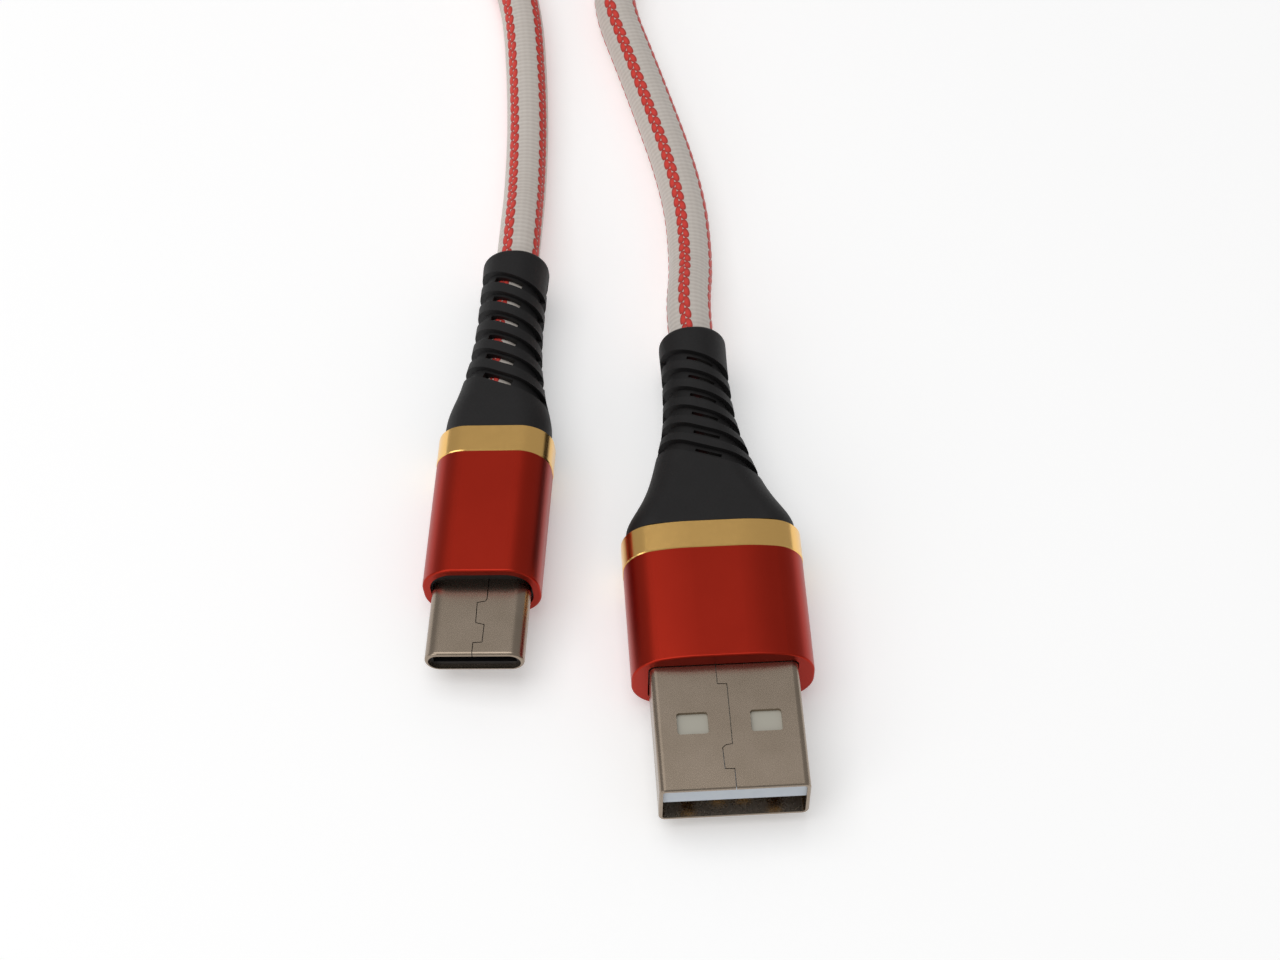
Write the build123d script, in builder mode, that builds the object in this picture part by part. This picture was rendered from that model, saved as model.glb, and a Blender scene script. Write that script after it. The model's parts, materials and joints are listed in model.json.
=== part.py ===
from build123d import *
import os
from math import asin, cos, degrees, pi, radians, sin, tan

os.makedirs("parts", exist_ok=True)

# A charging cable lying on a table: a USB-A plug and a USB-C plug side by side, with the
# cable running away behind them to a strapped coil. Millimetres, +Z up, table at z = 0.
# The plugs point to -Y. The origin is on the table, under the middle of the two plugs.

# Where the plugs lie: middle of the mating face, turn about +Z, tilt about the plug's axis
usb_a_front = (9.733, -26.749)
usb_a_axis_height = 3.64
usb_a_turn = 4.83
usb_a_tilt = 0.0
usb_c_front = (-11.466, -14.124)
usb_c_axis_height = 3.43
usb_c_turn = -2.45
usb_c_tilt = 6.75

# USB-A plug, every depth measured back from the mating face
a_shell_width = 12.0
a_shell_height = 4.5
a_shell_wall = 0.3
a_shell_radius = 0.55
a_shell_end = 18.6
a_tongue_thick = 1.84
a_tongue_end = 9.2
a_insulator_end = 17.2
a_contact_spread = (-3.5, -1.0, 1.0, 3.5)
a_contact_width = 1.0
a_contact_thick = 0.25
a_tail_end = 19.8
a_wire_end = 25.2
a_jacket_end = 28.2
a_mould_rear = 22.6
a_window = (2.5, 2.0)
a_window_side = 2.95
a_window_depth = 6.1
a_body_width = 14.9
a_body_height = 7.2
a_flat_half = 2.0
a_crown_radius = 15.0
a_corner_radius = 2.9
a_body_front = 11.5
a_body_rear = 22.1
a_web = 0.8
a_wall = 1.0
a_ring_rear = 24.85
a_spigot_rear = 23.5
a_boot_rear = 46.0
a_boot_window = (2.3, 0.3)

# USB-C plug
c_shell_width = 8.25
c_shell_height = 2.4
c_shell_wall = 0.3
c_shell_end = 12.6
c_slot = (6.9, 0.9)
c_slot_depth = 5.5
c_insulator_end = 10.4
c_contact_width = 0.26
c_contact_thick = 0.15
c_contact_pitch = 0.5
c_contact_start = 1.0
c_contact_rear = 12.2
c_latch_rear = 7.3
c_card_middle = 13.6
c_card_size = (6.9, 6.4)
c_card_half = 0.4
c_tail_end = 16.8
c_wire_end = 21.6
c_jacket_end = 24.4
c_mould_rear = 19.6
c_body_width = 9.8
c_body_height = 6.25
c_body_radius = 2.7
c_body_front = 6.9
c_body_rear = 19.1
c_wall = 0.65
c_ring_rear = 21.85
c_spigot_rear = 20.4
c_boot_rear = 41.5
c_boot_window = (2.7, 0.85)
c_mould_recess = 0.5

# Shared by both ends
ring_stand_out = 0.04
ring_chamfer = 0.12
body_edge = 0.15
boot_corner = 2.7
boot_end_radius = 0.6
bore_reach = 60.0
seam = 0.07
slot_gap = 1.1
slot_lean = 20
groove_depth = 0.5
cable_diameter = 4.0
jacket_diameter = 3.2
wire_diameter = 0.95
cable_low = cable_diameter / 2

# Coil of spare cable and its strap
coil_middle = (-8.2, 101.5)
coil_inner = 16.8
coil_outer = 25.2
coil_height = 12.1
coil_corner = 1.9
strap_thick = 0.8
strap_angle = 24


def plug_plane(front, height, turn, tilt):
    """Plane on a plug's mating face: x to the right, y up, z out of the plug."""
    level = Vector(cos(radians(turn)), sin(radians(turn)), 0)
    across = level * cos(radians(tilt)) + Vector(0, 0, 1) * sin(radians(tilt))
    ahead = Vector(sin(radians(turn)), -cos(radians(turn)), 0)
    return Plane(origin=(front[0], front[1], height), x_dir=across, z_dir=ahead)


def deck_plane(plug, rise):
    """Plane parallel to a plug's broad faces, rise above its axis: x right, y rearward."""
    return Plane(origin=plug.origin + plug.y_dir * rise, x_dir=plug.x_dir, z_dir=plug.y_dir)


def point(plug, across, up, depth):
    """World position of a point given in a plug's own directions."""
    return plug.from_local_coords(Vector(across, up, -depth))


def crowned(inset):
    """Body outline of the USB-A plug, set in by a wall: flat, shoulder, corner, side."""
    top = a_body_height / 2 - inset
    reach = a_body_width / 2 - a_corner_radius - a_flat_half
    lean = degrees(asin(reach / (a_crown_radius - a_corner_radius)))
    with BuildSketch() as outline:
        with BuildLine():
            flat = Line((0, top), (a_flat_half, top))
            shoulder = JernArc(flat @ 1, (1, 0), a_crown_radius - inset, -lean)
            corner = JernArc(shoulder @ 1, shoulder % 1, a_corner_radius - inset, lean - 90)
            Line(corner @ 1, ((corner @ 1).X, 0))
            mirror(about=Plane.YZ)
            mirror(about=Plane.XZ)
        make_face()
    return outline.sketch


def rounded(width, height, radius, inset):
    """Rounded rectangle set in by a wall."""
    with BuildSketch() as outline:
        RectangleRounded(width - 2 * inset, height - 2 * inset, radius - inset)
    return outline.sketch


def boot_solid(plug, stations, slim):
    """Tapered strain relief through (depth, width, height) stations, slim all round."""
    with BuildPart() as boot:
        for depth, width, height in stations:
            with BuildSketch(plug.offset(-depth)):
                RectangleRounded(width - 2 * slim, height - 2 * slim, boot_corner - slim)
        loft()
    return boot.part


def slot_cutters(plug, depths, core, window, offset):
    """Leaning grooves round both broad sides of a boot, with windows through to the cable."""
    with BuildPart() as grooves:
        for side in (1, -1):
            with BuildSketch(deck_plane(plug, 0)):
                with Locations(*[(0, depth) for depth in depths]):
                    Rectangle(18, slot_gap, rotation=-side * slot_lean)
            extrude(amount=side * 5)
        add(core, mode=Mode.SUBTRACT)
    with BuildPart() as windows:
        for side in (1, -1):
            with BuildSketch(deck_plane(plug, side * 0.4)):
                with Locations(*[(side * offset, depth) for depth in depths]):
                    Rectangle(window[0], window[1], rotation=-side * slot_lean)
            extrude(amount=side * 5)
    return [grooves.part, windows.part]


def wire_solid(path_points, bend, diameter):
    """Insulated wire along straight runs with small bends."""
    with BuildPart() as wire:
        with BuildLine() as path:
            FilletPolyline(*path_points, radius=bend)
        with BuildSketch(Plane(origin=path.line @ 0, z_dir=path.line % 0)):
            Circle(diameter / 2)
        sweep(path=path.line)
    return wire.part


usb_a = plug_plane(usb_a_front, usb_a_axis_height, usb_a_turn, usb_a_tilt)
usb_c = plug_plane(usb_c_front, usb_c_axis_height, usb_c_turn, usb_c_tilt)

# ---------------------------------------------------------------- USB-A plug

# Folded sheet shell with two latch windows in each broad face and a key-shaped seam
with BuildPart() as a_shell:
    with BuildSketch(usb_a.offset(-a_shell_end)):
        add(rounded(a_shell_width, a_shell_height, a_shell_radius, 0))
        add(rounded(a_shell_width, a_shell_height, a_shell_radius, a_shell_wall), mode=Mode.SUBTRACT)
    extrude(amount=a_shell_end)
    front_rim = a_shell.faces().sort_by(Axis(usb_a.origin, usb_a.z_dir))[-1]
    chamfer(front_rim.outer_wire().edges(), 0.1)
    with BuildSketch(deck_plane(usb_a, -5)):
        with Locations((-a_window_side, a_window_depth), (a_window_side, a_window_depth)):
            RectangleRounded(a_window[0], a_window[1], 0.25)
    extrude(amount=10, mode=Mode.SUBTRACT)
    with BuildSketch(deck_plane(usb_a, 1.0)):
        with BuildLine() as a_seam:
            Polyline(
                (0.07, -1), (0.07, 1.75), (-0.7, 1.8), (-0.74, 3.7), (-0.48, 3.96), (0.07, 4.05),
                (0.07, 9.65), (-0.7, 9.7), (-0.7, 19.5),
            )
        trace(line_width=seam)
    extrude(amount=3, mode=Mode.SUBTRACT)
a_shell.part.label = "usb_a_shell"
export_step(a_shell.part, "parts/usb_a_shell.step")

# Contacts: flat strips on the tongue's inner face, the outer two reaching further forward
a_contacts = []
for across, name in zip(a_contact_spread, ("vbus", "data_minus", "data_plus", "ground")):
    start = 1.3 if abs(across) > 2 else 2.3
    with BuildPart() as contact:
        with BuildSketch(usb_a.offset(-a_tail_end)):
            with Locations((across, 0.135)):
                Rectangle(a_contact_width, a_contact_thick)
        extrude(amount=a_tail_end - start)
        nose = contact.faces().sort_by(Axis(usb_a.origin, usb_a.z_dir))[-1]
        chamfer(nose.edges().sort_by(Axis.Z)[0], 0.15)
    contact.part.label = "usb_a_contact_" + name
    export_step(contact.part, "parts/usb_a_contact_" + name + ".step")
    a_contacts.append(contact.part)

# Insulator: a tongue along the top of the shell, then a block that fills it
with BuildPart() as a_insulator:
    inner_width = a_shell_width - 2 * a_shell_wall
    inner_height = a_shell_height - 2 * a_shell_wall
    with BuildSketch(usb_a.offset(-a_insulator_end)):
        RectangleRounded(inner_width, inner_height, 0.36)
    extrude(amount=a_insulator_end - 0.25)
    with BuildSketch(usb_a.offset(-a_tongue_end)):
        with Locations((0, -a_tongue_thick)):
            Rectangle(inner_width + 1, inner_height)
    extrude(amount=a_tongue_end, mode=Mode.SUBTRACT)
    add(a_contacts, mode=Mode.SUBTRACT)
a_insulator.part.label = "usb_a_insulator"
export_step(a_insulator.part, "parts/usb_a_insulator.step")

# Solder joints on the four contact tails
with BuildPart() as a_solder:
    with BuildSketch(usb_a.offset(-a_tail_end)):
        with Locations(*[(across, 0.61) for across in a_contact_spread]):
            RectangleRounded(1.2, 0.7, 0.3)
    extrude(amount=1.3)
a_solder.part.label = "usb_a_solder_joints"
export_step(a_solder.part, "parts/usb_a_solder_joints.step")

# Four insulated wires from the solder joints to the end of the inner jacket
wire_ends = ((-0.62, -0.62), (-0.62, 0.62), (0.62, 0.62), (0.62, -0.62))
a_wires = []
for across, end, name in zip(a_contact_spread, wire_ends, ("red", "white", "green", "black")):
    run = [
        point(usb_a, across, 0.61, a_tail_end),
        point(usb_a, across, 0.61, a_tail_end + 0.9),
        point(usb_a, end[0], end[1], a_wire_end - 1.0),
        point(usb_a, end[0], end[1], a_wire_end),
    ]
    wire = wire_solid(run, 0.9, wire_diameter)
    wire.label = "usb_a_wire_" + name
    export_step(wire, "parts/usb_a_wire_" + name + ".step")
    a_wires.append(wire)

# Inner jacket, bare of textile for its last few millimetres
with BuildPart() as a_jacket:
    with BuildSketch(usb_a.offset(-a_jacket_end)):
        Circle(jacket_diameter / 2)
    extrude(amount=a_jacket_end - a_wire_end)
a_jacket.part.label = "usb_a_inner_jacket"
export_step(a_jacket.part, "parts/usb_a_inner_jacket.step")

# Inner mould that locks shell, solder joints and wires together inside the body
with BuildPart() as a_mould:
    with BuildSketch(usb_a.offset(-a_mould_rear)):
        add(crowned(a_wall))
    extrude(amount=a_mould_rear - a_body_front - a_web)
    with BuildSketch(usb_a.offset(-a_shell_end)):
        add(rounded(a_shell_width, a_shell_height, a_shell_radius, 0))
    extrude(amount=a_shell_end, mode=Mode.SUBTRACT)
    with BuildSketch(usb_a.offset(-a_shell_end)):
        add(rounded(a_shell_width, a_shell_height, a_shell_radius, a_shell_wall + 0.02))
    extrude(amount=a_shell_end - a_insulator_end)
    add(a_contacts, mode=Mode.SUBTRACT)
    add(a_solder.part, mode=Mode.SUBTRACT)
    add(a_wires, mode=Mode.SUBTRACT)
a_mould.part.label = "usb_a_inner_mould"
export_step(a_mould.part, "parts/usb_a_inner_mould.step")

# Metal body: a crowned sleeve with a front web round the shell and a spigot for the ring
with BuildPart() as a_body:
    with BuildSketch(usb_a.offset(-a_body_rear)):
        add(crowned(0))
    extrude(amount=a_body_rear - a_body_front)
    front_face = a_body.faces().sort_by(Axis(usb_a.origin, usb_a.z_dir))[-1]
    fillet(front_face.edges(), body_edge)
    with BuildSketch(usb_a.offset(-a_spigot_rear)):
        add(crowned(a_wall / 2))
    extrude(amount=a_spigot_rear - a_body_rear)
    with BuildSketch(usb_a.offset(-a_spigot_rear)):
        add(crowned(a_wall))
    extrude(amount=a_spigot_rear - a_body_front - a_web, mode=Mode.SUBTRACT)
    with BuildSketch(usb_a.offset(-a_body_rear)):
        add(rounded(a_shell_width, a_shell_height, a_shell_radius, -0.1))
    extrude(amount=a_body_rear, mode=Mode.SUBTRACT)
a_body.part.label = "usb_a_body"
export_step(a_body.part, "parts/usb_a_body.step")

# Bright ring: slips over the spigot, closes the body and stands slightly proud all round
with BuildPart() as a_ring:
    with BuildSketch(usb_a.offset(-a_ring_rear)):
        add(crowned(-ring_stand_out))
    extrude(amount=a_ring_rear - a_body_rear)
    for edge_face in (a_ring.faces().sort_by(Axis(usb_a.origin, usb_a.z_dir))[-1],
                      a_ring.faces().sort_by(Axis(usb_a.origin, usb_a.z_dir))[0]):
        chamfer(edge_face.edges(), ring_chamfer)
    with BuildSketch(usb_a.offset(-a_spigot_rear)):
        add(crowned(a_wall / 2))
    extrude(amount=a_spigot_rear - a_body_rear, mode=Mode.SUBTRACT)
    with BuildSketch(usb_a.offset(-a_ring_rear)):
        add(crowned(a_wall))
    extrude(amount=a_ring_rear - a_body_rear, mode=Mode.SUBTRACT)
a_ring.part.label = "usb_a_ring"
export_step(a_ring.part, "parts/usb_a_ring.step")

# Strain relief: flange and neck held in the ring, then a tapering boot with six slots
a_boot_stations = (
    (24.85, 14.0, 6.8), (26.1, 13.75, 6.7), (27.3, 12.5, 6.55), (28.9, 10.8, 6.4),
    (30.6, 9.5, 6.2), (32.25, 8.55, 6.05), (33.9, 7.7, 5.9), (35.6, 6.85, 5.8),
    (37.3, 6.3, 5.76), (39.5, 5.95, 5.75), (41.5, 5.78, 5.75), (43.7, 5.75, 5.75),
    (a_boot_rear, 5.75, 5.75),
)
a_slots = [42.4 - 2.0 * step for step in range(6)]
a_core = boot_solid(usb_a, a_boot_stations, groove_depth)
with BuildPart() as a_boot:
    add(boot_solid(usb_a, a_boot_stations, 0))
    rear_face = a_boot.faces().sort_by(Axis(usb_a.origin, usb_a.z_dir))[0]
    fillet(rear_face.edges(), boot_end_radius)
    with BuildSketch(usb_a.offset(-a_ring_rear)):
        add(crowned(a_wall))
    extrude(amount=a_ring_rear - a_mould_rear)
    add(slot_cutters(usb_a, a_slots, a_core, a_boot_window, 0.35), mode=Mode.SUBTRACT)
    with BuildSketch(usb_a.offset(-bore_reach)):
        Circle(cable_diameter / 2)
    extrude(amount=bore_reach - a_jacket_end, mode=Mode.SUBTRACT)
    add(a_jacket.part, mode=Mode.SUBTRACT)
    add(a_wires, mode=Mode.SUBTRACT)
a_boot.part.label = "usb_a_strain_relief"
export_step(a_boot.part, "parts/usb_a_strain_relief.step")

# Textile-covered cable held in the boot
with BuildPart() as a_stub:
    with BuildSketch(usb_a.offset(-a_boot_rear)):
        Circle(cable_diameter / 2)
    extrude(amount=a_boot_rear - a_jacket_end)
a_stub.part.label = "cable_end_usb_a"
export_step(a_stub.part, "parts/cable_end_usb_a.step")

# ---------------------------------------------------------------- USB-C plug

# Seamed shell with full-round ends and a rolled front lip
with BuildPart() as c_shell:
    with BuildSketch(usb_c.offset(-c_shell_end)):
        SlotOverall(c_shell_width, c_shell_height)
        SlotOverall(
            c_shell_width - 2 * c_shell_wall, c_shell_height - 2 * c_shell_wall, mode=Mode.SUBTRACT
        )
    extrude(amount=c_shell_end)
    front_rim = c_shell.faces().sort_by(Axis(usb_c.origin, usb_c.z_dir))[-1]
    fillet(front_rim.outer_wire().edges(), 0.25)
    with BuildSketch(deck_plane(usb_c, 0.4)):
        with BuildLine() as c_seam:
            Polyline(
                (-0.05, -1), (-0.05, 1.15), (0.7, 1.2), (0.72, 2.9), (0, 3.1), (-0.05, 5.07),
                (0.6, 5.2), (0.73, 5.4), (0.73, 13.5),
            )
        trace(line_width=seam)
    extrude(amount=2, mode=Mode.SUBTRACT)
c_shell.part.label = "usb_c_shell"
export_step(c_shell.part, "parts/usb_c_shell.step")


# Contact rows above and below the slot, each a group of thin strips
def contact_row(positions, side):
    with BuildPart() as row:
        with BuildSketch(usb_c.offset(-c_contact_rear)):
            with Locations(*[((place - 6.5) * c_contact_pitch, side * 0.475) for place in positions]):
                Rectangle(c_contact_width, c_contact_thick)
        extrude(amount=c_contact_rear - c_contact_start)
    return row.part


c_upper = contact_row((1, 4, 5, 6, 7, 9, 12), 1)
c_upper.label = "usb_c_contacts_upper"
export_step(c_upper, "parts/usb_c_contacts_upper.step")
c_lower = contact_row((1, 4, 9, 12), -1)
c_lower.label = "usb_c_contacts_lower"
export_step(c_lower, "parts/usb_c_contacts_lower.step")

# Latch plate: two sprung arms beside the slot joined by a bar behind it
with BuildPart() as c_latch:
    with BuildSketch(usb_c.offset(-c_latch_rear)):
        with Locations((-3.6, 0), (3.6, 0)):
            Rectangle(0.2, 0.6)
    extrude(amount=c_latch_rear - c_contact_start - 0.1)
    with BuildSketch(usb_c.offset(-c_latch_rear)):
        Rectangle(7.4, 0.2)
    extrude(amount=1.0)
c_latch.part.label = "usb_c_latch_plate"
export_step(c_latch.part, "parts/usb_c_latch_plate.step")

# Insulator filling the shell, with the slot that takes the socket's tongue
with BuildPart() as c_insulator:
    with BuildSketch(usb_c.offset(-c_insulator_end)):
        SlotOverall(c_shell_width - 2 * c_shell_wall, c_shell_height - 2 * c_shell_wall)
    extrude(amount=c_insulator_end - 0.4)
    with BuildSketch(usb_c.offset(-c_slot_depth)):
        Rectangle(c_slot[0], c_slot[1])
    extrude(amount=c_slot_depth, mode=Mode.SUBTRACT)
    add([c_upper, c_lower, c_latch.part], mode=Mode.SUBTRACT)
c_insulator.part.label = "usb_c_insulator"
export_step(c_insulator.part, "parts/usb_c_insulator.step")

# Paddle card between the two contact rows, with the pull-up resistor on top
with BuildPart() as c_card:
    with BuildSketch(deck_plane(usb_c, 0)):
        with Locations((0, c_card_middle)):
            Rectangle(*c_card_size)
    extrude(amount=c_card_half, both=True)
c_card.part.label = "usb_c_paddle_card"
export_step(c_card.part, "parts/usb_c_paddle_card.step")

with BuildPart() as c_resistor:
    with BuildSketch(deck_plane(usb_c, c_card_half)):
        with Locations((-2.4, 13.4)):
            Rectangle(1.0, 0.5)
    extrude(amount=0.35)
c_resistor.part.label = "usb_c_pull_up_resistor"
export_step(c_resistor.part, "parts/usb_c_pull_up_resistor.step")

# Solder joints at the card's rear edge, and the wires that end in them
c_joint_spread = (-2.55, -0.85, 0.85, 2.55)
with BuildPart() as c_solder:
    with BuildSketch(usb_c.offset(-c_tail_end)):
        with Locations(*[(across, 0.775) for across in c_joint_spread]):
            RectangleRounded(1.1, 0.75, 0.3)
    extrude(amount=1.4)
c_solder.part.label = "usb_c_solder_joints"
export_step(c_solder.part, "parts/usb_c_solder_joints.step")

c_wires = []
for across, end, name in zip(c_joint_spread, wire_ends, ("red", "white", "green", "black")):
    run = [
        point(usb_c, across, 0.95, c_tail_end),
        point(usb_c, across, 0.95, c_tail_end + 0.8),
        point(usb_c, end[0], end[1], c_wire_end - 1.0),
        point(usb_c, end[0], end[1], c_wire_end),
    ]
    wire = wire_solid(run, 0.8, wire_diameter)
    wire.label = "usb_c_wire_" + name
    export_step(wire, "parts/usb_c_wire_" + name + ".step")
    c_wires.append(wire)

with BuildPart() as c_jacket:
    with BuildSketch(usb_c.offset(-c_jacket_end)):
        Circle(jacket_diameter / 2)
    extrude(amount=c_jacket_end - c_wire_end)
c_jacket.part.label = "usb_c_inner_jacket"
export_step(c_jacket.part, "parts/usb_c_inner_jacket.step")

# Inner mould: fills the body and shows as the collar round the shell
with BuildPart() as c_mould:
    with BuildSketch(usb_c.offset(-c_mould_rear)):
        add(rounded(c_body_width, c_body_height, c_body_radius, c_wall))
    extrude(amount=c_mould_rear - c_body_front - c_mould_recess)
    with BuildSketch(usb_c.offset(-c_shell_end)):
        SlotOverall(c_shell_width, c_shell_height)
    extrude(amount=c_shell_end, mode=Mode.SUBTRACT)
    with BuildSketch(usb_c.offset(-c_shell_end)):
        SlotOverall(c_shell_width - 2 * c_shell_wall - 0.04, c_shell_height - 2 * c_shell_wall - 0.04)
    extrude(amount=c_shell_end - c_insulator_end)
    add([c_upper, c_lower, c_card.part, c_resistor.part, c_solder.part], mode=Mode.SUBTRACT)
    add(c_wires, mode=Mode.SUBTRACT)
c_mould.part.label = "usb_c_inner_mould"
export_step(c_mould.part, "parts/usb_c_inner_mould.step")

# Metal body: a plain rounded sleeve with a spigot for the ring
with BuildPart() as c_body:
    with BuildSketch(usb_c.offset(-c_body_rear)):
        add(rounded(c_body_width, c_body_height, c_body_radius, 0))
    extrude(amount=c_body_rear - c_body_front)
    front_face = c_body.faces().sort_by(Axis(usb_c.origin, usb_c.z_dir))[-1]
    fillet(front_face.edges(), body_edge)
    with BuildSketch(usb_c.offset(-c_spigot_rear)):
        add(rounded(c_body_width, c_body_height, c_body_radius, c_wall / 2))
    extrude(amount=c_spigot_rear - c_body_rear)
    with BuildSketch(usb_c.offset(-c_spigot_rear)):
        add(rounded(c_body_width, c_body_height, c_body_radius, c_wall))
    extrude(amount=c_spigot_rear, mode=Mode.SUBTRACT)
c_body.part.label = "usb_c_body"
export_step(c_body.part, "parts/usb_c_body.step")

with BuildPart() as c_ring:
    with BuildSketch(usb_c.offset(-c_ring_rear)):
        add(rounded(c_body_width, c_body_height, c_body_radius, -ring_stand_out))
    extrude(amount=c_ring_rear - c_body_rear)
    for edge_face in (c_ring.faces().sort_by(Axis(usb_c.origin, usb_c.z_dir))[-1],
                      c_ring.faces().sort_by(Axis(usb_c.origin, usb_c.z_dir))[0]):
        chamfer(edge_face.edges(), ring_chamfer)
    with BuildSketch(usb_c.offset(-c_spigot_rear)):
        add(rounded(c_body_width, c_body_height, c_body_radius, c_wall / 2))
    extrude(amount=c_spigot_rear - c_body_rear, mode=Mode.SUBTRACT)
    with BuildSketch(usb_c.offset(-c_ring_rear)):
        add(rounded(c_body_width, c_body_height, c_body_radius, c_wall))
    extrude(amount=c_ring_rear - c_body_rear, mode=Mode.SUBTRACT)
c_ring.part.label = "usb_c_ring"
export_step(c_ring.part, "parts/usb_c_ring.step")

c_boot_stations = (
    (21.85, 9.3, 5.85), (23.2, 9.05, 5.85), (24.25, 8.8, 5.83), (25.2, 8.35, 5.8),
    (26.8, 7.5, 5.78), (28.6, 6.85, 5.77), (30.3, 6.3, 5.76), (32.1, 6.0, 5.75),
    (33.9, 5.8, 5.75), (35.8, 5.76, 5.75), (37.7, 5.75, 5.75), (39.6, 5.75, 5.75),
    (c_boot_rear, 5.75, 5.75),
)
c_slots = [37.95 - 2.15 * step for step in range(6)]
c_core = boot_solid(usb_c, c_boot_stations, groove_depth)
with BuildPart() as c_boot:
    add(boot_solid(usb_c, c_boot_stations, 0))
    rear_face = c_boot.faces().sort_by(Axis(usb_c.origin, usb_c.z_dir))[0]
    fillet(rear_face.edges(), boot_end_radius)
    with BuildSketch(usb_c.offset(-c_ring_rear)):
        add(rounded(c_body_width, c_body_height, c_body_radius, c_wall))
    extrude(amount=c_ring_rear - c_mould_rear)
    add(slot_cutters(usb_c, c_slots, c_core, c_boot_window, -0.2), mode=Mode.SUBTRACT)
    with BuildSketch(usb_c.offset(-bore_reach)):
        Circle(cable_diameter / 2)
    extrude(amount=bore_reach - c_jacket_end, mode=Mode.SUBTRACT)
    add(c_jacket.part, mode=Mode.SUBTRACT)
    add(c_wires, mode=Mode.SUBTRACT)
c_boot.part.label = "usb_c_strain_relief"
export_step(c_boot.part, "parts/usb_c_strain_relief.step")

with BuildPart() as c_stub:
    with BuildSketch(usb_c.offset(-c_boot_rear)):
        Circle(cable_diameter / 2)
    extrude(amount=c_boot_rear - c_jacket_end)
c_stub.part.label = "cable_end_usb_c"
export_step(c_stub.part, "parts/cable_end_usb_c.step")

# ---------------------------------------------------------------- cable

# Spare cable as the outer shape of its coil, raised by the strap that goes round it
with BuildPart() as coil:
    with BuildSketch(Plane(origin=(*coil_middle, 0), x_dir=(1, 0, 0), z_dir=(0, -1, 0))):
        with Locations(((coil_inner + coil_outer) / 2, strap_thick + coil_height / 2)):
            RectangleRounded(coil_outer - coil_inner, coil_height, coil_corner)
    revolve(axis=Axis((*coil_middle, 0), (0, 0, 1)))
coil.part.label = "cable_coil"
export_step(coil.part, "parts/cable_coil.step")

with BuildPart() as strap:
    with BuildSketch(Plane(origin=(*coil_middle, 0), x_dir=(0, 1, 0), z_dir=(1, 0, 0))):
        with Locations(((coil_inner + coil_outer) / 2, strap_thick + coil_height / 2)):
            RectangleRounded(
                coil_outer - coil_inner + 2 * strap_thick, coil_height + 2 * strap_thick,
                coil_corner + strap_thick,
            )
            RectangleRounded(
                coil_outer - coil_inner, coil_height, coil_corner, mode=Mode.SUBTRACT
            )
    revolve(axis=Axis((*coil_middle, 0), (0, 0, 1)), revolution_arc=strap_angle)
strap.part.label = "coil_strap"
export_step(strap.part, "parts/coil_strap.step")


def cable_run(points):
    """Free cable: straight runs joined by arcs as large as the runs allow."""
    radii = []
    for before, here, after in zip(points, points[1:], points[2:]):
        run_in = here - before
        run_out = after - here
        turn = run_in.get_angle(run_out)
        shorter = min(run_in.length, run_out.length)
        radii.append(0.45 * shorter / tan(radians(turn / 2)))
    with BuildPart() as tube:
        with BuildLine() as path:
            FilletPolyline(*points, radius=radii)
        with BuildSketch(Plane(origin=path.line @ 0, z_dir=path.line % 0)):
            Circle(cable_diameter / 2)
        sweep(path=path.line)
    length = path.wires()[0].length
    section = pi * cable_diameter**2 / 4
    print("runs", [round((b - a).length, 1) for a, b in zip(points, points[1:])])
    print("radii", [round(radius, 1) for radius in radii], "length", round(length, 2))
    print("volume over section x length", round(tube.part.volume / section / length, 4))
    return tube.part


a_exit = point(usb_a, 0, 0, a_boot_rear)
a_route = [
    a_exit,
    point(usb_a, 0, 0, a_boot_rear + 4.6),
    Vector(5.8, 29.2, cable_low),
    Vector(5.0, 38.0, cable_low),
    Vector(1.0, 51.5, cable_low),
    Vector(-2.6, 62.6, cable_low),
    Vector(-0.6, 71.2, cable_low),
    Vector(5.7, 77.5, cable_low),
    Vector(11.4, 85.1, cable_low + 0.3),
    Vector(14.6, 93.0, cable_low + 0.9),
    Vector(14.8, 102.0, cable_low + 1.1),
]
c_exit = point(usb_c, 0, 0, c_boot_rear)
c_route = [
    c_exit,
    point(usb_c, 0, 0, c_boot_rear + 4.6),
    Vector(-9.35, 38.0, cable_low),
    Vector(-9.45, 47.5, cable_low),
    Vector(-10.65, 62.0, cable_low),
    Vector(-14.4, 69.9, cable_low),
    Vector(-19.2, 75.2, cable_low + 0.4),
    Vector(-24.1, 79.3, cable_low + 2.2),
    Vector(-28.2, 84.0, cable_low + 4.8),
    Vector(-30.6, 89.8, cable_low + 7.3),
    Vector(-31.3, 96.3, cable_low + 8.8),
    Vector(-30.9, 102.5, cable_low + 9.2),
]
with BuildPart() as a_run:
    add(cable_run(a_route))
    add(coil.part, mode=Mode.SUBTRACT)
a_run.part.label = "cable_run_usb_a"
export_step(a_run.part, "parts/cable_run_usb_a.step")

with BuildPart() as c_run:
    add(cable_run(c_route))
    add(coil.part, mode=Mode.SUBTRACT)
c_run.part.label = "cable_run_usb_c"
export_step(c_run.part, "parts/cable_run_usb_c.step")

plugs = Compound([a_shell.part, a_body.part, a_ring.part, a_boot.part, c_shell.part, c_body.part,
                  c_ring.part, c_boot.part])
print("plugs from", plugs.bounding_box().min, "to", plugs.bounding_box().max)
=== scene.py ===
import json
import math
import bpy
from mathutils import Matrix, Vector


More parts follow.
